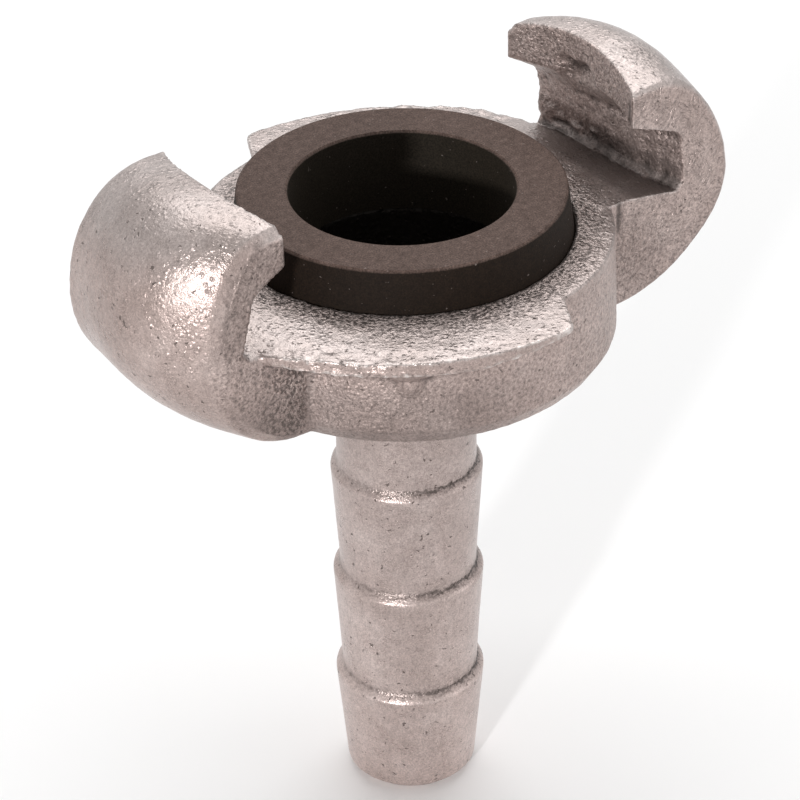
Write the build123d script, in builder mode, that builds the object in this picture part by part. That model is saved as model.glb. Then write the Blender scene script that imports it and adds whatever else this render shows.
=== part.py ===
from build123d import *
import os
from math import cos, radians, sin

os.makedirs("parts", exist_ok=True)

# ---------------------------------------------------------------- driving dimensions, mm
# Heights are measured up from the cut end of the hose tail.  +X runs through the first claw.
CLAW_SPACING = 42.0      # standard distance between the lip faces of the two claws
CLAW_COUNT = 2
CLAW_WIDTH = 18.1        # claw end face to claw end face

FLANGE_Z = 60.0          # flange top beside the seal
FLANGE_FALL = 0.2        # fall of the flange top out to the wing edge
RIM_R = 19.05            # rim of the flange in the two gaps
BODY_R = 19.35           # the round body widens slightly towards its lower edge
BODY_BOTTOM_Z = 49.0
BODY_EDGE = 1.2          # chamfer of the lower edge
NECK_TOP_Z = 44.3        # where the conical underside reaches the neck
NECK_R = 6.55
NECK_FLARE = 1.2         # chamfer in the corner over the neck

WING_R = 22.9            # cam wing edge at its lead-in end
WING_GROWTH = 1.1        # how much further out the edge is where it meets the claw
WING_START = 16.0        # azimuths from the middle of the claw, degrees
WING_END = 93.0
WING_LEAD = 8.0          # the lead-in end leans over this angle down to the rim
WING_CORNER = 1.0        # rounding of the lead-in corner in plan
WING_EDGE_T = 1.6        # thickness at the outer edge
WING_ROOT_T = 3.9        # thickness at the body
RAMP_ANGLE = 6.0         # relief under the lead-in, degrees of slope
RAMP_SPAN = 22.0         # relief under the lead-in, degrees of arc

TIP_R = 6.1              # hose tail
TIP_EDGE = 0.9           # chamfer of the cut end
BARB_R = 7.15
BARB_ROOT_R = 6.45
BARB_FIRST_Z = 11.4      # height of the first barb edge
BARB_PITCH = 11.6
BARB_COUNT = 3
BARB_LEDGE = 0.6         # height of the sloping ledge over each barb edge
BORE_R = 4.6

SEAL_PROUD = 3.85
SEAL_TOP_R = 14.8
SEAL_BORE_R = 10.2
SEAL_EDGE = 0.2
SEAL_FIT = 0.05          # play between the seal and the wall of its seat
SEAT_DEPTH = 4.2         # the seal's seat under the flange top
SEAT_MOUTH_R = 15.35
SEAT_FLOOR_R = 15.95
CHAMBER_R = 10.6         # opening under the seal
CHAMBER_DEPTH = 5.2      # straight part of the chamber under the seat floor

CLAW_EDGE = 0.45         # chamfer of the flat clockwise end
CLAW_SLANT = 0.8         # chamfer of the other end
CLAW_INSIDE_X = 15.6     # the claws are rooted this far inside the body
CLAW_ROOT_X = 17.3       # where the underside of a claw runs into the body
CLAW_DROP = 0.3          # the claws hang this far below the body

# Claw shell, section by section: share of the claw's width from its clockwise end, height of
# the crown over the sealing face, outer end of the crown, greatest X and the height of that.
CLAW_SECTIONS = (
    (0.00, 6.50, 21.8, 30.1, -4.5),
    (0.28, 7.40, 22.6, 31.1, -4.2),
    (0.55, 7.80, 23.0, 31.3, -4.0),
    (0.80, 7.45, 22.2, 29.6, -4.0),
    (1.00, 6.50, 20.2, 26.3, -4.2),
)

# Claw pocket, section by section: share of the claw's width, X of the wall's foot, lean of
# the wall inwards, X of the lip's lower edge, height of that edge and of the wall's top over
# the sealing face, floor under the flange top.
POCKET_SECTIONS = (
    (-0.03, 25.2, 0.0, 18.9, 2.9, 0.9, 1.2),
    (0.28, 24.0, 0.1, 20.6, 3.6, 1.1, 1.0),
    (0.55, 23.7, 0.3, 21.0, 4.0, 1.2, 0.9),
    (1.03, 23.6, 1.3, 18.9, 2.9, 1.5, 1.1),
    (1.48, 23.6, 1.3, 18.9, 2.9, 1.5, 0.15),
)
POCKET_CORNER = 0.7      # corner flats between pocket floor, wall and lip

# ---------------------------------------------------------------- values that follow
FACE_Z = FLANGE_Z + SEAL_PROUD
LIP_R = CLAW_SPACING / 2
FLANGE_EDGE_Z = FLANGE_Z - FLANGE_FALL
WING_UNDER_Z = FLANGE_EDGE_Z - WING_EDGE_T
SEAT_FLOOR_Z = FLANGE_Z - SEAT_DEPTH
CHAMBER_Z = SEAT_FLOOR_Z - CHAMBER_DEPTH
CLAW_ROOT_Z = BODY_BOTTOM_Z - CLAW_DROP
WING_MIDDLE = (WING_START + WING_END) / 2
HEADROOM = 20.0          # open space over the flange, more than the claws' height
BARB_EDGES_Z = tuple(BARB_FIRST_Z + BARB_PITCH * row for row in range(BARB_COUNT))


def polar(radius, angle):
    return (radius * cos(radians(angle)), radius * sin(radians(angle)))


def claw_plane(share):
    """Plane across the claw's width, sketched with X outwards and Y upwards."""
    return Plane(origin=(0, (share - 0.5) * CLAW_WIDTH, 0), x_dir=(1, 0, 0), z_dir=(0, -1, 0))


def claw_section(share, crown, crown_x, bulge_x, bulge):
    """Closed outline of the solid claw."""
    crown_z = FACE_Z + crown
    bulge_z = FACE_Z + bulge
    upper = (bulge_x - crown_x, crown_z - bulge_z)
    lower = (bulge_x - CLAW_ROOT_X, bulge_z - CLAW_ROOT_Z)
    with BuildSketch(claw_plane(share)) as section:
        with BuildLine():
            Line((CLAW_INSIDE_X, CLAW_ROOT_Z), (CLAW_INSIDE_X, crown_z))
            Line((CLAW_INSIDE_X, crown_z), (crown_x, crown_z))
            EllipticalCenterArc((crown_x, bulge_z), *upper, start_angle=0, arc_size=90)
            EllipticalCenterArc((CLAW_ROOT_X, bulge_z), *lower, start_angle=270, arc_size=90)
            Line((CLAW_ROOT_X, CLAW_ROOT_Z), (CLAW_INSIDE_X, CLAW_ROOT_Z))
        make_face()
    return section.sketch


def pocket_section(share, wall_x, lean, lip_x, lip, wall_top, floor_drop):
    """Closed outline of the pocket under the lip."""
    wall_top_x = wall_x - lean
    wall_top_z = FACE_Z + wall_top
    floor_z = FLANGE_Z - floor_drop
    with BuildSketch(claw_plane(share)) as section:
        with BuildLine():
            Polyline(
                (CLAW_INSIDE_X, FLANGE_Z),
                (CLAW_INSIDE_X, FACE_Z + lip),
                (lip_x, FACE_Z + lip),
                (wall_top_x - POCKET_CORNER, wall_top_z),
                (wall_top_x, wall_top_z - POCKET_CORNER),
                (wall_x, floor_z + POCKET_CORNER),
                (wall_x - POCKET_CORNER, floor_z),
                (RIM_R, FLANGE_EDGE_Z),
                close=True,
            )
        make_face()
    return section.sketch


# ---------------------------------------------------------------- coupling body
with BuildPart() as turned:
    with BuildSketch(Plane.XZ):
        with BuildLine():
            Polyline(
                (0, 0),
                (TIP_R, 0),
                (BARB_R, BARB_EDGES_Z[0]),
                (BARB_ROOT_R, BARB_EDGES_Z[0] + BARB_LEDGE),
                (BARB_R, BARB_EDGES_Z[1]),
                (BARB_ROOT_R, BARB_EDGES_Z[1] + BARB_LEDGE),
                (BARB_R, BARB_EDGES_Z[2]),
                (NECK_R, BARB_EDGES_Z[2] + BARB_LEDGE),
                (NECK_R, NECK_TOP_Z),
                (BODY_R, BODY_BOTTOM_Z),
                (RIM_R, FLANGE_EDGE_Z),
                (SEAT_MOUTH_R, FLANGE_Z),
                (0, FLANGE_Z),
                close=True,
            )
        make_face()
    revolve(axis=Axis.Z)
    rings = turned.edges().filter_by(GeomType.CIRCLE)
    chamfer(rings.filter_by_position(Axis.Z, -0.1, 0.1), TIP_EDGE)
    chamfer(rings.filter_by_position(Axis.Z, NECK_TOP_Z - 0.1, NECK_TOP_Z + 0.1), NECK_FLARE)
    chamfer(rings.filter_by_position(Axis.Z, BODY_BOTTOM_Z - 0.1, BODY_BOTTOM_Z + 0.1), BODY_EDGE)

with BuildPart() as claw:
    for row in CLAW_SECTIONS:
        add(claw_section(*row))
    loft()
    claw_ends = claw.faces().filter_by(Axis.Y).sort_by(Axis.Y)
    chamfer(claw_ends[-1].edges().filter_by(GeomType.LINE, reverse=True), CLAW_SLANT)
    claw_ends = claw.faces().filter_by(Axis.Y).sort_by(Axis.Y)
    chamfer(claw_ends[0].edges().filter_by(GeomType.LINE, reverse=True), CLAW_EDGE)

with BuildPart() as pocket:
    for row in POCKET_SECTIONS:
        add(pocket_section(*row))
    loft(ruled=True)

with BuildPart() as wing:
    with BuildSketch(Plane.XY) as wing_plan:
        with BuildLine():
            inner_start = polar(CLAW_INSIDE_X, WING_START)
            outer_start = polar(WING_R + WING_GROWTH, WING_START)
            outer_middle = polar(WING_R + WING_GROWTH / 4, WING_MIDDLE)
            outer_end = polar(WING_R, WING_END)
            rim_end = polar(RIM_R - 0.3, WING_END + WING_LEAD)
            inner_end = polar(CLAW_INSIDE_X, WING_END + WING_LEAD)
            Line(inner_start, outer_start)
            ThreePointArc(outer_start, outer_middle, outer_end)
            Line(outer_end, rim_end)
            Line(rim_end, inner_end)
            ThreePointArc(inner_end, polar(CLAW_INSIDE_X, WING_MIDDLE), inner_start)
        make_face()
        corner = Vector(*outer_end)
        fillet(wing_plan.vertices().sort_by_distance(corner)[0], WING_CORNER)
    extrude(amount=FLANGE_Z)
    with BuildSketch(Plane.XZ):
        with BuildLine():
            Polyline(
                (CLAW_INSIDE_X - 1, FLANGE_Z),
                (SEAT_MOUTH_R, FLANGE_Z),
                (WING_R, FLANGE_EDGE_Z),
                (WING_R + 3, FLANGE_EDGE_Z),
                (WING_R + 3, WING_UNDER_Z),
                (WING_R, WING_UNDER_Z),
                (RIM_R, FLANGE_EDGE_Z - WING_ROOT_T),
                (CLAW_INSIDE_X - 1, FLANGE_EDGE_Z - WING_ROOT_T - 2),
                close=True,
            )
        make_face()
    revolve(axis=Axis.Z, mode=Mode.INTERSECT)
    ramp_start = polar(WING_R, WING_END - RAMP_SPAN)
    rise = sin(radians(RAMP_ANGLE))
    run = cos(radians(RAMP_ANGLE))
    heading = WING_END + 90 - RAMP_SPAN / 2
    ramp = Plane(
        origin=(*ramp_start, WING_UNDER_Z),
        x_dir=(*polar(run, heading), rise),
        z_dir=(*polar(-rise, heading), run),
    )
    with Locations(ramp):
        Box(
            WING_R, RIM_R / 2, WING_ROOT_T,
            align=(Align.MIN, Align.CENTER, Align.MAX), mode=Mode.SUBTRACT,
        )

with BuildPart() as hollow:
    with BuildSketch(Plane.XZ):
        with BuildLine():
            Polyline(
                (0, -1),
                (BORE_R, -1),
                (BORE_R, NECK_TOP_Z),
                (CHAMBER_R, CHAMBER_Z),
                (CHAMBER_R, SEAT_FLOOR_Z),
                (SEAT_FLOOR_R, SEAT_FLOOR_Z),
                (SEAT_MOUTH_R, FLANGE_Z),
                (LIP_R, FLANGE_Z),
                (LIP_R, FLANGE_Z + HEADROOM),
                (0, FLANGE_Z + HEADROOM),
                close=True,
            )
        make_face()
    revolve(axis=Axis.Z)

with BuildPart() as coupling_body:
    add(turned.part)
    with PolarLocations(0, CLAW_COUNT):
        add(claw.part)
        add(wing.part)
    with PolarLocations(0, CLAW_COUNT):
        add(pocket.part, mode=Mode.SUBTRACT)
    add(hollow.part, mode=Mode.SUBTRACT)
coupling_body.part.label = "coupling_body"
export_step(coupling_body.part, "parts/coupling_body.step")

# ---------------------------------------------------------------- seal ring
with BuildPart() as seal_ring:
    with BuildSketch(Plane.XZ):
        with BuildLine():
            Polyline(
                (SEAL_BORE_R, SEAT_FLOOR_Z),
                (SEAT_FLOOR_R - SEAL_FIT, SEAT_FLOOR_Z),
                (SEAT_MOUTH_R - SEAL_FIT, FLANGE_Z),
                (SEAL_TOP_R, FACE_Z),
                (SEAL_BORE_R, FACE_Z),
                close=True,
            )
        make_face()
    revolve(axis=Axis.Z)
    chamfer(seal_ring.edges().group_by(Axis.Z)[-1], SEAL_EDGE)
seal_ring.part.label = "seal_ring"
export_step(seal_ring.part, "parts/seal_ring.step")
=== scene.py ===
import math

import bpy
import numpy as np
from mathutils import Matrix, Vector


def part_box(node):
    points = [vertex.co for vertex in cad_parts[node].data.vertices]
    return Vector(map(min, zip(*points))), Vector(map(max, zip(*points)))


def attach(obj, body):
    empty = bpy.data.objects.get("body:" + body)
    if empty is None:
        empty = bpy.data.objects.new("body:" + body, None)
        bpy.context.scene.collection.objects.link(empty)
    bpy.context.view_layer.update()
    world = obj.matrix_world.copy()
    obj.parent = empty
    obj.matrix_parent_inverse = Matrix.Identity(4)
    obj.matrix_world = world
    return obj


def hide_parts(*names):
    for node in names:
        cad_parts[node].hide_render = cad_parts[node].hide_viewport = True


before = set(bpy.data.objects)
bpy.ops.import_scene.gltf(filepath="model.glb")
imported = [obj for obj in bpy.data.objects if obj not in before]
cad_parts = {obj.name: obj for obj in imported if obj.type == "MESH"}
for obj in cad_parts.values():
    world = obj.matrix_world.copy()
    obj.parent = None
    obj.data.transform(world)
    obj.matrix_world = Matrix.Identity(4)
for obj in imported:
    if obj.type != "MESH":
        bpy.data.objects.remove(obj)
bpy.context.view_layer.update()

MM = 0.001

# ------------------------------------------------------------------ sizes taken from the frame
SEAL_PROUD = 3.85 * MM                      # the seal stands this far above the flange
seal_high = Vector(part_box("seal_ring")[1])
FACE_Z = seal_high.z                        # the sealing face
SEAL_R = seal_high.x
CENTRE = Vector((0.0, 0.0, FACE_Z))
FLANGE_Z = FACE_Z - SEAL_PROUD
LIP_Z = FACE_Z + 2.5 * MM                   # a pocket's wall gives way to its lip here

# ------------------------------------------------------------------ sizes of the casting
CLAW_END_Y = 9.05 * MM                      # the end faces of a claw lie this far either side
CLAW_ROOT_X, CLAW_CLEAR_X = 17.0 * MM, 18.0 * MM    # where a claw leaves the head
WING_START, WING_END = 25.0, 96.0           # azimuths of a cam wing, in degrees from its claw
NECK_Z, BODY_Z = 40.0 * MM, 46.0 * MM       # the turned tail ends and the cast body begins
BARB_LEDGES = (11.4 * MM, 23.0 * MM, 34.6 * MM)
BARB_PITCH = BARB_LEDGES[1] - BARB_LEDGES[0]
CHAMBER_R = 10.9 * MM                       # the passage through the body

SKIN_VOXEL = 0.22 * MM                      # how finely the casting's skin is made
SKIN_KEPT = 0.35                            # share of its triangles left after thinning
MERGE_WITHIN = 0.002 * MM
WEIGHT_LEVELS = 12
SMALLEST_RADIUS = 1e-6                      # keeps a division by the radius safe

# ------------------------------------------------------------------ workshop helpers


def mm(*values):
    """A place or a size given in millimetres."""
    return tuple(value * MM for value in values)


def deselect_everything():
    if bpy.context.object and bpy.context.object.mode != "OBJECT":
        bpy.ops.object.mode_set(mode="OBJECT")
    bpy.ops.object.select_all(action="DESELECT")


def take(obj):
    """Makes one object the only selected and active one."""
    deselect_everything()
    obj.hide_set(False)
    obj.select_set(True)
    bpy.context.view_layer.objects.active = obj


def settle(obj):
    """Puts the object's place, turn and size into its mesh."""
    take(obj)
    bpy.ops.object.transform_apply(location=True, rotation=True, scale=True)


def apply_all(obj):
    take(obj)
    for modifier in list(obj.modifiers):
        bpy.ops.object.modifier_apply(modifier=modifier.name)


def copy_of_node(node, name):
    """A separate, merged copy of a CAD node's mesh."""
    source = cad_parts[node]
    copy = bpy.data.objects.new(name, source.data.copy())
    copy.data.name = name
    bpy.context.scene.collection.objects.link(copy)
    copy.data.materials.clear()
    take(copy)
    bpy.ops.object.mode_set(mode="EDIT")
    bpy.ops.mesh.select_all(action="SELECT")
    bpy.ops.mesh.remove_doubles(threshold=MERGE_WITHIN)
    bpy.ops.mesh.normals_make_consistent(inside=False)
    bpy.ops.object.mode_set(mode="OBJECT")
    return copy


def melt_in(obj, *lumps):
    """Joins lumps of metal to a casting, whose next remesh makes them one skin."""
    take(obj)
    for lump in lumps:
        lump.select_set(True)
    bpy.context.view_layer.objects.active = obj
    bpy.ops.object.join()


def lump_at(place, size):
    """A rounded lump, its size given along X, Y and Z."""
    deselect_everything()
    bpy.ops.mesh.primitive_ico_sphere_add(subdivisions=3, radius=1.0, location=place)
    lump = bpy.context.object
    lump.scale = size
    settle(lump)
    return lump


def nudge(obj, place, move, reach):
    """Draws the skin near one place a short way along, fading out over its reach."""
    ends = []
    for spot in (Vector(place), Vector(place) + Vector(move)):
        deselect_everything()
        bpy.ops.object.empty_add(location=spot)
        ends.append(bpy.context.object)
    warp = obj.modifiers.new("nudge", "WARP")
    warp.object_from, warp.object_to = ends
    warp.falloff_type = "SMOOTH"
    warp.falloff_radius = reach
    apply_all(obj)
    for end in ends:
        bpy.data.objects.remove(end)


def rise(values, start, end):
    """0 before start, 1 after end, and smooth between them."""
    t = np.clip((values - start) / (end - start), 0.0, 1.0)
    return t * t * (3.0 - 2.0 * t)


def fall(values, start, end):
    """1 before start, 0 after end, and smooth between them."""
    return 1.0 - rise(values, start, end)


class Skin:
    """The points of a casting: where they lie and which way they face.

    claw_x and claw_y are a point's place as seen from the claw on its own side, so that one
    rule serves both claws.
    """

    def __init__(self, obj):
        mesh = obj.data
        places = np.empty(len(mesh.vertices) * 3, np.float32)
        mesh.vertices.foreach_get("co", places)
        normals = np.empty(len(mesh.vertices) * 3, np.float32)
        mesh.vertex_normals.foreach_get("vector", normals)
        self.places, self.normals = places.reshape(-1, 3), normals.reshape(-1, 3)
        self.x, self.y, self.z = self.places.T
        self.side = np.sign(self.x)
        self.claw_x, self.claw_y = self.side * self.x, self.side * self.y
        self.radius = np.hypot(self.x, self.y)
        self.divisor = np.maximum(self.radius, SMALLEST_RADIUS)
        self.azimuth = np.degrees(np.arctan2(self.y, self.x)) % 180.0
        self.upward = self.normals[:, 2]
        self.inward = -(self.x * self.normals[:, 0] + self.y * self.normals[:, 1]) / self.divisor
        self.clear_of_root = rise(self.claw_x, CLAW_ROOT_X, CLAW_CLEAR_X)
        self.head = rise(self.z, NECK_Z, BODY_Z)

    def on_wing(self, start_r, end_r):
        """1 on the outer part of the cam wings."""
        weights = rise(self.radius, start_r, end_r) * rise(self.azimuth, WING_START, WING_START + 3)
        return weights * fall(self.azimuth, WING_END, WING_END + 2)

    def near(self, spot, reach):
        """1 at a spot, down to 0 at its reach."""
        away = np.linalg.norm(self.places - np.array(spot, np.float32), axis=1)
        return fall(away, 0.0, reach)

    def along(self, start, end, reach):
        """1 on the straight line between two spots, down to 0 at its reach."""
        start, end = np.array(start, np.float32), np.array(end, np.float32)
        line = end - start
        share = np.clip((self.places - start) @ line / (line @ line), 0.0, 1.0)
        away = np.linalg.norm(self.places - start - share[:, None] * line, axis=1)
        return fall(away, 0.2 * reach, reach)


def marked(obj, weights):
    """The name of a vertex group that holds the weights, rounded to a few levels."""
    obj.vertex_groups.clear()
    group = obj.vertex_groups.new(name="here")
    levels = np.round(weights * WEIGHT_LEVELS).astype(int)
    for level in range(1, WEIGHT_LEVELS + 1):
        members = np.nonzero(levels == level)[0]
        if len(members):
            group.add(members.tolist(), level / WEIGHT_LEVELS, "REPLACE")
    return group.name


def soften(obj, weights, rounds):
    """Smooths the skin where the weights say so."""
    rub = obj.modifiers.new("soften", "SMOOTH")
    rub.vertex_group = marked(obj, weights)
    rub.factor = 0.5
    rub.iterations = rounds
    apply_all(obj)
    obj.vertex_groups.clear()


def roughen(obj, weights, cloud_size, strength, middle=0.5):
    """Lifts and sinks the skin with cloudy noise where the weights say so."""
    clouds = bpy.data.textures.new("cast_clouds", "CLOUDS")
    clouds.noise_scale = cloud_size
    clouds.noise_depth = 2
    lift = obj.modifiers.new("roughen", "DISPLACE")
    lift.texture = clouds
    lift.texture_coords = "LOCAL"
    lift.strength = strength
    lift.mid_level = middle
    lift.vertex_group = marked(obj, weights)
    apply_all(obj)
    obj.vertex_groups.clear()


def edge_count(first, second, points):
    """How many edges meet at each point, and never less than 1."""
    count = np.bincount(first, minlength=points) + np.bincount(second, minlength=points)
    return np.maximum(count, 1)


def spread(values, first, second, rounds):
    """Averages a value along the edges of the mesh, again and again."""
    count = edge_count(first, second, len(values))
    for _ in range(rounds):
        total = np.bincount(first, values[second], len(values))
        total += np.bincount(second, values[first], len(values))
        values = 0.3 * values + 0.7 * total / count
    return values


def bend_of(obj, skin):
    """How sharply the skin bends at each point: above 0 in a corner, below 0 on an edge."""
    points = len(skin.places)
    edges = np.empty(len(obj.data.edges) * 2, np.int32)
    obj.data.edges.foreach_get("vertices", edges)
    first, second = edges.reshape(-1, 2).T
    apart = skin.places[second] - skin.places[first]
    length = np.maximum((apart ** 2).sum(1), 1e-12)
    bend = np.bincount(first, (apart * skin.normals[first]).sum(1) / length, points)
    bend -= np.bincount(second, (apart * skin.normals[second]).sum(1) / length, points)
    bend /= edge_count(first, second, points)
    return spread(bend, first, second, 4) * MM


def store(obj, name, *marks):
    """Keeps the strongest of some marks on the mesh, where its material reads it."""
    attribute = obj.data.attributes.new(name, "FLOAT", "POINT")
    attribute.data.foreach_set("value", np.asarray(np.maximum.reduce(marks), np.float32))


# ------------------------------------------------------------------ colours
ZINC_DARK = (0.36, 0.28, 0.255)
ZINC = (0.418, 0.331, 0.305)
ZINC_PALE = (0.48, 0.39, 0.362)
TURNED_TINGE_AND_LIGHT = (1.36, 1.4, 1.42)
UPWARD_SHEEN_TINGE = (0.89, 0.96, 0.985)
PIT = (0.07, 0.054, 0.047)
RAW_GRIT = (0.022, 0.017, 0.015)
WRINKLE = (0.1, 0.078, 0.07)
SHADE = (0.095, 0.073, 0.065)
CORNER_SHADE = (0.04, 0.03, 0.026)
BARE_METAL = (0.66, 0.61, 0.585)
PASSAGE_SHADE = (0.018, 0.014, 0.011)
RUBBER_BLACK = (0.009, 0.005, 0.003)
RUBBER_DUSTY = (0.018, 0.011, 0.007)
BORE_BROWN = (0.022, 0.017, 0.012)
TOP_SHEEN_DARK = (0.06, 0.038, 0.031)
TOP_SHEEN = (0.096, 0.064, 0.053)
TOP_SHEEN_PALE = (0.135, 0.093, 0.079)
LINT = (0.3, 0.25, 0.23)
PAPER_WHITE = (0.95, 0.95, 0.95, 1.0)


# ------------------------------------------------------------------ materials
class Finish:
    """A material and short ways to add its nodes."""

    def __init__(self, name):
        self.material = bpy.data.materials.new(name)
        self.material.use_nodes = True
        self.tree = self.material.node_tree
        self.shader = self.tree.nodes["Principled BSDF"]
        self.place = self.tree.nodes.new("ShaderNodeTexCoord").outputs["Object"]
        parts = self.tree.nodes.new("ShaderNodeSeparateXYZ")
        self.join(self.place, parts.inputs["Vector"])
        self.place_along = parts.outputs

    def join(self, source, target):
        self.tree.links.new(source, target)

    def set(self, socket, value):
        self.shader.inputs[socket].default_value = value

    def noise(self, scale, detail, roughness, distortion=0.0):
        node = self.tree.nodes.new("ShaderNodeTexNoise")
        node.inputs["Scale"].default_value = scale
        node.inputs["Detail"].default_value = detail
        node.inputs["Roughness"].default_value = roughness
        node.inputs["Distortion"].default_value = distortion
        self.join(self.place, node.inputs["Vector"])
        return node.outputs["Fac"]

    def cells(self, scale):
        node = self.tree.nodes.new("ShaderNodeTexVoronoi")
        node.inputs["Scale"].default_value = scale
        self.join(self.place, node.inputs["Vector"])
        return node.outputs["Distance"]

    def mark(self, name):
        """One of the marks stored on the mesh."""
        node = self.tree.nodes.new("ShaderNodeAttribute")
        node.attribute_name = name
        return node.outputs["Fac"]

    def ramp(self, source, *stops):
        node = self.tree.nodes.new("ShaderNodeValToRGB")
        elements = node.color_ramp.elements
        while len(elements) < len(stops):
            elements.new(0.5)
        for element, (position, colour) in zip(elements, stops):
            if not isinstance(colour, tuple):
                colour = (colour, colour, colour)
            element.position = position
            element.color = (*colour, 1.0)
        self.join(source, node.inputs["Fac"])
        return node.outputs["Color"]

    def work(self, operation, first, *others):
        """Works values out two by two, from left to right."""
        result = first
        for other in others:
            node = self.tree.nodes.new("ShaderNodeMath")
            node.operation = operation
            for socket, value in zip(node.inputs, (result, other)):
                if isinstance(value, (int, float)):
                    socket.default_value = value
                else:
                    self.join(value, socket)
            result = node.outputs["Value"]
        return result

    def plus(self, *values):
        return self.work("ADD", *values)

    def minus(self, *values):
        return self.work("SUBTRACT", *values)

    def times(self, *values):
        return self.work("MULTIPLY", *values)

    def blend(self, factor, first, second, kind="MIX"):
        node = self.tree.nodes.new("ShaderNodeMix")
        node.data_type = "RGBA"
        node.blend_type = kind
        sockets = (node.inputs[0], node.inputs[6], node.inputs[7])
        for socket, value in zip(sockets, (factor, first, second)):
            if isinstance(value, tuple):
                socket.default_value = (*value, 1.0)
            elif isinstance(value, (int, float)):
                socket.default_value = value
            else:
                self.join(value, socket)
        return node.outputs[2]

    def tint(self, tone, tinge):
        """A tone made lighter, darker or warmer by a tinge."""
        return self.blend(1.0, tone, tinge, "MULTIPLY")

    def bump(self, height, strength, distance):
        node = self.tree.nodes.new("ShaderNodeBump")
        node.inputs["Strength"].default_value = strength
        node.inputs["Distance"].default_value = distance
        self.join(height, node.inputs["Height"])
        self.join(node.outputs["Normal"], self.shader.inputs["Normal"])


def cast_zinc():
    """Malleable iron as cast, under a thin dull zinc coat."""
    f = Finish("zinc_coated_casting")
    raw = f.mark("raw")
    hollow = f.mark("hollow")
    worn = f.mark("worn")
    shaded = f.mark("shaded")
    turned = f.mark("turned")
    wrinkled = f.mark("wrinkled")
    sandy = f.mark("sandy")

    # The coat is cloudy from place to place, mottled, grainy, and speckled where it is sandy.
    clouds = f.noise(210.0, 4.0, 0.6)
    tone = f.ramp(clouds, (0.3, ZINC_DARK), (0.52, ZINC), (0.72, ZINC_PALE))
    mottle = f.noise(1500.0, 4.0, 0.7)
    tone = f.tint(tone, f.ramp(mottle, (0.3, 0.86), (0.5, 1.0), (0.72, 1.12)))
    grain = f.noise(7500.0, 1.0, 0.5)
    tone = f.tint(tone, f.ramp(grain, (0.3, 0.8), (0.5, 1.0), (0.7, 1.2)))
    speckle = f.noise(3300.0, 2.0, 0.6)
    speckled = f.tint(tone, f.ramp(speckle, (0.3, 0.5), (0.48, 1.0), (0.7, 1.4)))
    tone = f.blend(f.plus(f.times(sandy, 0.75), 0.25), tone, speckled)

    # The turned tail is lighter, partly as its own cleaner finish and partly as painted light that
    # grows towards its end, and what faces up is painted a little greyer, as the sheen of the light
    # from above.
    height_mm = f.times(f.place_along["Z"], 1.0 / MM)
    lighter_towards_end = f.ramp(f.work("DIVIDE", height_mm, BODY_Z / MM), (0.0, 1.0), (1.0, 0.68))
    tone = f.blend(turned, tone, f.tint(f.tint(tone, TURNED_TINGE_AND_LIGHT), lighter_towards_end))
    tone = f.blend(f.mark("facing_up"), tone, f.tint(tone, UPWARD_SHEEN_TINGE))

    # Pits lie all over, grit in the raw metal, and wrinkles on the claws' far ends.
    in_pit = f.ramp(f.noise(1900.0, 1.5, 0.6, distortion=0.4), (0.27, 1.0), (0.32, 0.0))
    tone = f.blend(f.times(in_pit, 0.75), tone, PIT)
    grit = f.noise(3400.0, 2.0, 0.55)
    gap = f.ramp(grit, (0.43, 1.0), (0.49, 0.0))
    tone = f.blend(f.times(gap, f.times(raw, 0.92)), tone, RAW_GRIT)
    folds = f.noise(480.0, 3.0, 0.6, distortion=1.2)
    crease = f.ramp(folds, (0.45, 0.0), (0.5, 1.0), (0.55, 0.0))
    tone = f.blend(f.times(crease, 0.16, wrinkled), tone, WRINKLE)
    # Shade is painted in where the shaded mark says so.
    tone = f.blend(f.times(shaded, 0.9), tone, SHADE)

    # A broken dark line of painted shade runs at the root of each barb ledge, and shade is painted
    # into the corners and hollows.
    wobble = f.times(f.minus(mottle, 0.5), 1.2)
    over_ledge = f.plus(f.minus(height_mm, BARB_LEDGES[0] / MM), wobble)
    over_ledge = f.work("MODULO", over_ledge, BARB_PITCH / MM)
    root_line = f.ramp(over_ledge, (0.5, 0.0), (0.62, 1.0), (0.8, 1.0), (0.9, 0.0))
    broken = f.ramp(speckle, (0.35, 0.45), (0.55, 1.0))
    root_line = f.times(root_line, f.times(f.mark("ledge"), broken))
    painted_corner_shade = f.work("MAXIMUM", f.times(hollow, 0.8), root_line)
    tone = f.blend(painted_corner_shade, tone, CORNER_SHADE)

    # Edges are rubbed bright in patches, and the passage is painted black as the shade inside it.
    rubbed = f.times(worn, f.ramp(mottle, (0.42, 0.1), (0.6, 0.9)))
    tone = f.blend(rubbed, tone, BARE_METAL)
    tone = f.blend(f.mark("passage_shade"), tone, PASSAGE_SHADE)
    f.join(tone, f.shader.inputs["Base Color"])
    f.set("Metallic", 0.65)

    gloss = f.ramp(f.noise(420.0, 4.0, 0.65), (0.35, 0.25), (0.65, 0.37))
    dull = f.plus(gloss, f.plus(f.times(shaded, 0.2), f.times(sandy, 0.15)))
    f.join(dull, f.shader.inputs["Roughness"])

    # The skin is blistered where it is cast, and every mark above has a little depth.
    blisters = f.ramp(f.cells(2000.0), (0.0, 1.0), (0.5, 0.0))
    blisters = f.times(blisters, f.ramp(f.noise(900.0, 2.0, 0.5), (0.4, 0.2), (0.65, 1.0)))
    cast_only = f.minus(1.1, turned)
    height = f.times(f.plus(f.times(blisters, 0.75), f.times(mottle, 0.5)), cast_only)
    height = f.plus(height, f.times(speckle, sandy, 1.2))
    height = f.plus(height, f.times(grain, 0.25))
    height = f.minus(height, f.times(in_pit, 0.5))
    height = f.minus(height, f.times(crease, wrinkled, 0.7))
    height = f.plus(height, f.times(grit, raw, 2.2))
    f.bump(height, 1.0, 0.115 * MM)
    return f.material


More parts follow.
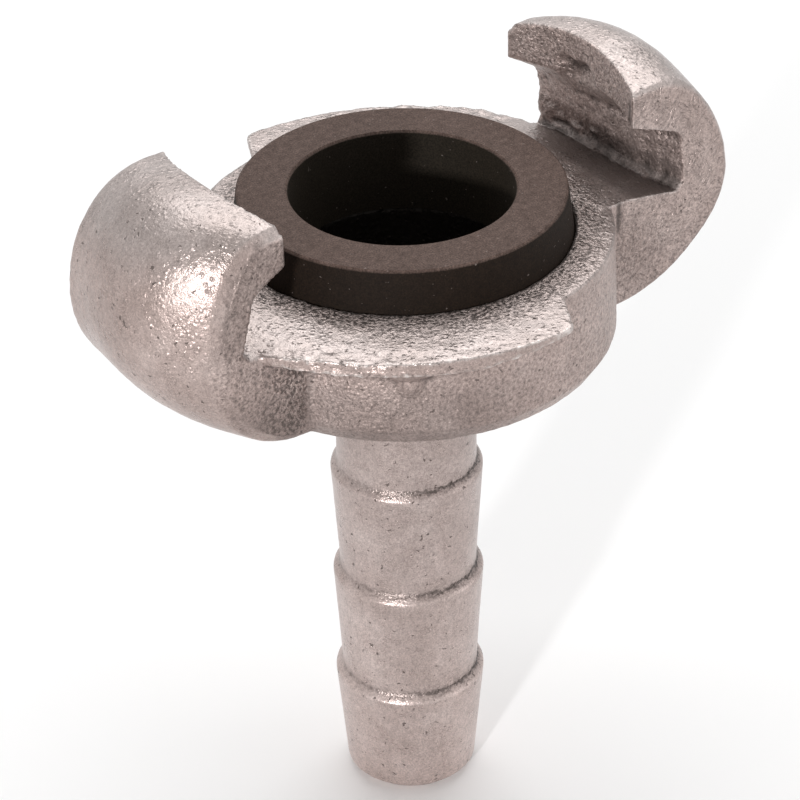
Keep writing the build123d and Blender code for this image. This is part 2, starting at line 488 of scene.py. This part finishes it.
def seal_rubber():
    """Black rubber, with a painted sheen of the light from above on its sealing face and a browner
    tone in its bore.
    """
    f = Finish("seal_rubber")
    over_edge = f.minus(f.place_along["Z"], FACE_Z - 0.3 * MM)
    top = f.ramp(f.times(over_edge, 4.0 / MM), (0.2, 0.0), (0.8, 1.0))
    x_mm, y_mm = (f.times(f.place_along[axis], 1.0 / MM) for axis in "XY")
    from_axis = f.work("SQRT", f.plus(f.times(x_mm, x_mm), f.times(y_mm, y_mm)), 0.0)
    in_bore = f.ramp(f.work("DIVIDE", from_axis, 20.0), (0.515, 1.0), (0.53, 0.0))

    dust_and_sheen = f.noise(1500.0, 6.0, 0.75)
    dark = f.ramp(dust_and_sheen, (0.3, RUBBER_BLACK), (0.75, RUBBER_DUSTY))
    dark = f.blend(in_bore, dark, BORE_BROWN)
    # The sealing face is painted lighter, as the sheen of the light from above.
    painted_sheen = f.ramp(dust_and_sheen, (0.3, TOP_SHEEN_DARK), (0.5, TOP_SHEEN), (0.7, TOP_SHEEN_PALE))
    grain = f.noise(6500.0, 1.0, 0.5)
    tone = f.tint(f.blend(top, dark, painted_sheen), f.ramp(grain, (0.3, 0.6), (0.5, 1.0), (0.7, 1.4)))
    lint = f.ramp(f.noise(2300.0, 1.0, 0.5), (0.74, 0.0), (0.78, 0.5))
    tone = f.blend(lint, tone, LINT)
    f.join(tone, f.shader.inputs["Base Color"])
    f.set("Roughness", 0.7)
    f.set("Specular IOR Level", 0.15)
    f.bump(f.plus(dust_and_sheen, grain), 0.6, 0.05 * MM)
    return f.material


zinc = cast_zinc()
rubber = seal_rubber()

# ------------------------------------------------------------------ the casting
casting = copy_of_node("coupling_body", "body_casting")

# Burrs lie along the foot of one pocket's wall.
melt_in(
    casting,
    lump_at(mm(23.6, 7.3, 61.0), mm(0.5, 0.55, 0.5)),
    lump_at(mm(23.6, 6.2, 60.4), mm(0.45, 0.5, 0.4)),
    lump_at(mm(23.6, 4.4, 60.1), mm(0.45, 1.1, 0.3)),
    lump_at(mm(23.6, 1.8, 60.7), mm(0.4, 0.7, 0.25)),
)
fine = casting.modifiers.new("fine_skin", "REMESH")
fine.mode = "VOXEL"
fine.voxel_size = SKIN_VOXEL
apply_all(casting)

# The two claws differ a little, and one has a corner that stands in and a hollow in its lip.
nudge(casting, mm(-30.5, 3.6, 56.0), mm(0.5, -0.2, 0.25), 14.0 * MM)
nudge(casting, mm(30.0, -8.0, 59.0), mm(0.3, -0.5, 0.0), 9.0 * MM)
nudge(casting, mm(23.7, 8.7, 60.3), mm(-0.8, 0.0, 0.0), 2.8 * MM)
nudge(casting, mm(21.2, 2.5, 67.5), mm(1.2, 0.0, 0.7), 1.9 * MM)
nudge(casting, mm(21.2, 0.5, 67.6), mm(1.2, 0.0, 0.7), 1.9 * MM)

# Edges are rounded all over, less on the turned tail and at the claws' anticlockwise ends.
skin = Skin(casting)
kept_crisp = 0.7 * rise(skin.claw_y, 8.0 * MM, 8.4 * MM) * skin.clear_of_root
soften(casting, (0.25 + 0.75 * skin.head) * (1.0 - kept_crisp), 3)

# The metal under the wings is smooth, with one run of it on the front.
on_claw = skin.clear_of_root * fall(skin.claw_y, 9.4 * MM, 10.0 * MM)
under_wing = rise(skin.z, 54.0 * MM, 55.5 * MM) * fall(skin.z, 58.6 * MM, 59.2 * MM)
under_wing *= fall(skin.radius, 22.0 * MM, 22.8 * MM) * (1.0 - on_claw)
soften(casting, under_wing, 30)
nudge(casting, mm(-11.3, -15.8, 56.8), mm(-0.5, -0.7, 0.0), 2.4 * MM)
nudge(casting, mm(-11.1, -15.8, 55.0), mm(-0.4, -0.55, 0.0), 1.4 * MM)

# The clockwise end of each claw's crest is well rounded.
crest_end = rise(skin.claw_x, 21.5 * MM, 23.0 * MM) * rise(-skin.claw_y, 6.5 * MM, 8.0 * MM)
soften(casting, crest_end * rise(skin.z, 66.0 * MM, 68.0 * MM), 30)

# The wing edges are ragged, more so beside their own claw, the pockets rough, the seats finely so.
skin = Skin(casting)
wing_edge = skin.on_wing(21.0 * MM, 22.0 * MM) * rise(skin.z, 56.5 * MM, 57.5 * MM)
calmer = 1.0 - 0.55 * rise(skin.azimuth, 48.0, 66.0)
roughen(casting, wing_edge * calmer, 1.1 * MM, 0.4 * MM, middle=0.75)
pocket = rise(skin.inward, 0.1, 0.4) * rise(skin.z, 57.5 * MM, 58.5 * MM)
pocket *= fall(skin.z, 65.0 * MM, 66.0 * MM)
pocket *= fall(np.abs(skin.y), 8.0 * MM, CLAW_END_Y)
roughen(casting, pocket, 1.6 * MM, 0.45 * MM)
roughen(casting, pocket, 0.6 * MM, 0.22 * MM)
seat_ring = rise(skin.upward, 0.6, 0.9) * fall(np.abs(skin.z - FLANGE_Z), 0.5 * MM, 1.0 * MM)
seat_ring *= 1.0 - 0.8 * rise(skin.radius, SEAL_R + 2.0 * MM, SEAL_R + 5.0 * MM)
roughen(casting, seat_ring, 0.5 * MM, 0.14 * MM)

# The whole skin waves and is grainy, the turned tail less so than the head.
roughen(casting, 0.3 + 0.7 * skin.head, 5.0 * MM, 0.12 * MM, middle=0.9)
roughen(casting, 0.25 + 0.75 * skin.head, 0.9 * MM, 0.07 * MM, middle=0.6)

thin = casting.modifiers.new("thin_out", "DECIMATE")
thin.ratio = SKIN_KEPT
apply_all(casting)

# ------------------------------------------------------------------ the casting's marks
skin = Skin(casting)
bend = bend_of(casting, skin)
x, y, z, radius = skin.x, skin.y, skin.z, skin.radius
claw_x, claw_y = skin.claw_x, skin.claw_y
upward, inward = skin.upward, skin.inward
rightward = (x * 0.8 - y * 0.6) / skin.divisor

# The pockets: their floor, wall and lip.
in_pocket = rise(claw_x, 18.8 * MM, 20.0 * MM)
in_pocket *= fall(np.abs(y), CLAW_END_Y - 0.2 * MM, CLAW_END_Y + 0.2 * MM)
in_pocket *= (
    rise(z, FLANGE_Z - 2.2 * MM, FLANGE_Z - 1.6 * MM) * fall(claw_x, 25.0 * MM, 25.6 * MM)
)
pocket_floor = in_pocket * fall(z, FLANGE_Z + 0.8 * MM, FLANGE_Z + 1.8 * MM)
pocket_floor *= rise(upward + inward, 0.3, 0.6)
pocket_floor *= fall(claw_y, 1.0 * MM, 6.0 * MM)
pocket_wall = in_pocket * rise(inward, 0.3, 0.7) * fall(z, LIP_Z, LIP_Z + 1.0 * MM)
lip_face = in_pocket * rise(inward, 0.5, 0.8) * rise(z, LIP_Z, LIP_Z + 1.0 * MM)

# The end faces of the claws: the near ones anticlockwise, the far ones clockwise.
facing_end = skin.normals[:, 1] * skin.side
near_end = rise(facing_end, 0.93, 0.985)
near_end *= rise(claw_y, CLAW_END_Y - 0.6 * MM, CLAW_END_Y - 0.2 * MM)
near_end *= skin.clear_of_root
far_end = rise(-facing_end, 0.7, 0.95)
far_end *= rise(-claw_y, CLAW_END_Y - 0.8 * MM, CLAW_END_Y - 0.2 * MM)
far_end *= skin.clear_of_root
root_corner = near_end * fall(z, FLANGE_Z - 2.0 * MM, FLANGE_Z - 1.0 * MM)
root_corner *= fall(claw_x, 19.0 * MM, 24.0 * MM)

# The flange beside the seal, the side of the body, and its lower front, where shade is painted,
# less towards the right.
flange = rise(upward, 0.7, 0.9) * fall(np.abs(z - FLANGE_Z), 0.4 * MM, 1.2 * MM)
flange *= fall(radius, SEAL_R + 0.1 * MM, SEAL_R + 4.4 * MM)
body_side = rise(z, BODY_Z, 48.0 * MM) * fall(z, FLANGE_Z - 1.4 * MM, FLANGE_Z - 0.8 * MM)
body_side *= fall(upward, 0.3, 0.6)
on_claw_back = rise(claw_x, 19.5 * MM, 21.0 * MM) * fall(np.abs(skin.normals[:, 1]), 0.8, 0.95)
body_side *= 1.0 - on_claw_back
under_body = body_side * fall(z, 52.0 * MM, 57.0 * MM) * (1.0 - 0.8 * rise(rightward, 0.2, 0.7))

# The barb ledges, and the edges that rub most: the wings' and the tail's.
ledges = np.zeros(len(z))
for ledge_z in BARB_LEDGES:
    this_ledge = rise(z, ledge_z + 0.1 * MM, ledge_z + 0.4 * MM)
    this_ledge *= fall(z, ledge_z + 0.7 * MM, ledge_z + 1.1 * MM)
    ledges = np.maximum(ledges, this_ledge)
# The ledges are painted darker towards the right, as shade.
ledges *= 0.6 + 0.4 * rightward
barbed_tail = rise(z, 5.0 * MM, 6.0 * MM) * fall(z, 38.0 * MM, 39.0 * MM)
whole_tail = rise(z, 2.0 * MM, 3.0 * MM) * fall(z, NECK_Z, 42.0 * MM)
on_edge = np.clip(skin.on_wing(20.0 * MM, 21.0 * MM) + whole_tail, 0.0, 1.0)
passage = fall(radius, CHAMBER_R, CHAMBER_R + 0.5 * MM) * rise(z, 2.0 * MM, 4.0 * MM)

# The flaws of this one casting, with painted shade on one claw's crown and in a recess, a slit and
# two creases.
rough_crest = skin.near(mm(24.2, -3.8, 70.8), 4.2 * MM)
shaded_crown = skin.near(mm(-22.5, 1.0, 71.0), 11.0 * MM)
recess_shade = skin.along(mm(22.0, 2.6, 67.8), mm(22.0, 0.2, 67.9), 1.1 * MM)
slit_shade = skin.along(mm(19.4, -8.1, 66.9), mm(19.4, -8.1, 69.0), 0.55 * MM)
upper_crease_shade = skin.along(mm(-21.2, -8.9, 69.8), mm(-24.6, -8.9, 66.5), 0.4 * MM)
lower_crease_shade = skin.along(mm(-24.6, -8.9, 66.5), mm(-26.0, -8.9, 59.7), 0.3 * MM)

# A line of painted shade, as in a groove, at the root of each claw's clockwise end.
groove_shade = fall(np.abs(claw_x - 17.65 * MM), 0.1 * MM, 0.45 * MM)
groove_shade *= fall(np.abs(claw_y + CLAW_END_Y), 0.2 * MM, 0.5 * MM)
groove_shade *= rise(z, 56.0 * MM, 57.5 * MM) * fall(z, 60.2 * MM, 61.0 * MM)

store(
    casting, "raw",
    0.3 * lip_face, 0.2 * pocket_wall, flange, 0.6 * ledges, 0.75 * root_corner, 0.5 * rough_crest,
)
# Painted shade on the pockets, the claws' near ends, the flange beside the seal, the ledges, the
# body's lower front and one crown.
store(
    casting, "shaded",
    0.02 * lip_face, 0.22 * pocket_wall, 0.72 * pocket_floor,
    (0.12 + 0.25 * rise(z, 59.0 * MM, 61.0 * MM)) * near_end,
    0.25 * flange ** 2, 0.4 * ledges, 0.5 * under_body, 0.22 * shaded_crown,
)
store(
    casting, "sandy",
    0.7 * body_side, near_end, 0.3 * far_end, lip_face, 0.8 * pocket_wall, rough_crest,
)
# Painted shade in the corners, the groove, the slit, the recess and the creases.
store(
    casting, "hollow",
    rise(bend, 0.1, 0.4), groove_shade, slit_shade, 0.85 * recess_shade, 0.5 * upper_crease_shade, 0.5 * lower_crease_shade,
)
store(casting, "worn", rise(-bend, 0.3, 0.75) * (0.25 + 0.75 * on_edge))
# The ledges' dark root lines are painted stronger towards the right, as shade.
store(casting, "ledge", barbed_tail * (0.55 + 0.45 * rightward))
# What faces up is painted greyer, as the sheen of the light from above.
store(
    casting, "facing_up",
    rise(upward, 0.25, 0.7) * rise(z, 55.0 * MM, 58.0 * MM) * (1.0 - 0.4 * flange),
)
store(casting, "wrinkled", far_end)
store(casting, "turned", fall(z, 43.0 * MM, 45.5 * MM))
# The passage is painted black, as the shade inside it.
store(casting, "passage_shade", passage * rise(inward, 0.0, 0.3))

take(casting)
bpy.ops.object.shade_smooth()
casting.data.materials.append(zinc)
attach(casting, "root")
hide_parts("coupling_body")

# ------------------------------------------------------------------ the seal ring
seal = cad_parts["seal_ring"]
seal.data.materials.clear()
seal.data.materials.append(rubber)

# ------------------------------------------------------------------ the floor
FLOOR_SIZE = 4.0

deselect_everything()
bpy.ops.mesh.primitive_plane_add(size=FLOOR_SIZE, location=(0, 0, 0))
floor = bpy.context.object
floor.name = "studio_floor"
paper = bpy.data.materials.new("studio_paper")
paper.use_nodes = True
paper_shader = paper.node_tree.nodes["Principled BSDF"]
paper_shader.inputs["Base Color"].default_value = PAPER_WHITE
paper_shader.inputs["Roughness"].default_value = 0.9
floor.data.materials.append(paper)

# ------------------------------------------------------------------ the light
ROOM_LEVEL = 0.3                            # what the room gives as light
SEEN_LEVEL = 1.0                            # the room as the camera and reflections see it


def white_room():
    """An even white room that lights less strongly than it looks."""
    world = bpy.data.worlds.new("studio")
    bpy.context.scene.world = world
    world.use_nodes = True
    tree = world.node_tree
    tree.nodes.clear()
    levels = []
    for strength in (ROOM_LEVEL, SEEN_LEVEL):
        room = tree.nodes.new("ShaderNodeBackground")
        room.inputs["Color"].default_value = (1.0, 1.0, 1.0, 1.0)
        room.inputs["Strength"].default_value = strength
        levels.append(room.outputs["Background"])
    rays = tree.nodes.new("ShaderNodeLightPath")
    seen = rays.outputs["Is Camera Ray"]
    for kind in ("Is Glossy Ray", "Is Transmission Ray"):
        either = tree.nodes.new("ShaderNodeMath")
        either.operation = "MAXIMUM"
        tree.links.new(seen, either.inputs[0])
        tree.links.new(rays.outputs[kind], either.inputs[1])
        seen = either.outputs["Value"]
    mix = tree.nodes.new("ShaderNodeMixShader")
    tree.links.new(seen, mix.inputs["Fac"])
    for socket, level in zip(mix.inputs[1:], levels):
        tree.links.new(level, socket)
    out = tree.nodes.new("ShaderNodeOutputWorld")
    tree.links.new(mix.outputs["Shader"], out.inputs["Surface"])


def softbox(name, azimuth, elevation, distance, size, watts):
    """A square area lamp that faces the seal from a compass bearing and a height."""
    a, e = math.radians(azimuth), math.radians(elevation)
    bearing = Vector((math.cos(e) * math.cos(a), math.cos(e) * math.sin(a), math.sin(e)))
    spot = CENTRE + distance * bearing
    deselect_everything()
    bpy.ops.object.light_add(type="AREA", location=spot)
    lamp = bpy.context.object
    lamp.name = name
    lamp.data.shape = "SQUARE"
    lamp.data.size = size
    lamp.data.energy = watts
    lamp.rotation_euler = (CENTRE - spot).to_track_quat("-Z", "Y").to_euler()


white_room()
softbox("overhead_softbox", 48.0, 60.0, 0.8, 0.9, 6.6)
softbox("right_softbox", -45.0, 20.0, 0.8, 0.6, 0.8)
softbox("window_glint", -148.0, 11.0, 0.6, 0.035, 1.9)

# ------------------------------------------------------------------ the camera
VIEW_AZIMUTH = math.radians(36.5)
VIEW_ELEVATION = math.radians(32.84)
VIEW_ROLL = math.radians(1.044)
VIEW_DISTANCE = 0.3216
VIEW_ASIDE = 0.00017
VIEW_DROP = 0.01898
LENS = 163.05
SENSOR_WIDTH = 36.0
CLIP_START = 0.01

level = Vector((math.cos(VIEW_AZIMUTH), -math.sin(VIEW_AZIMUTH), 0.0))
back = Vector((
    -math.cos(VIEW_ELEVATION) * math.sin(VIEW_AZIMUTH),
    -math.cos(VIEW_ELEVATION) * math.cos(VIEW_AZIMUTH),
    math.sin(VIEW_ELEVATION),
))
upright = back.cross(level)
camera_x = level * math.cos(VIEW_ROLL) - upright * math.sin(VIEW_ROLL)
camera_y = level * math.sin(VIEW_ROLL) + upright * math.cos(VIEW_ROLL)
camera_place = CENTRE - VIEW_ASIDE * camera_x - VIEW_DROP * camera_y + VIEW_DISTANCE * back
deselect_everything()
bpy.ops.object.camera_add()
camera = bpy.context.object
camera.matrix_world = Matrix((
    (camera_x.x, camera_y.x, back.x, camera_place.x),
    (camera_x.y, camera_y.y, back.y, camera_place.y),
    (camera_x.z, camera_y.z, back.z, camera_place.z),
    (0.0, 0.0, 0.0, 1.0),
))
camera.data.lens = LENS
camera.data.sensor_width = SENSOR_WIDTH
camera.data.clip_start = CLIP_START
bpy.context.scene.camera = camera
bpy.context.scene.view_settings.view_transform = "Standard"
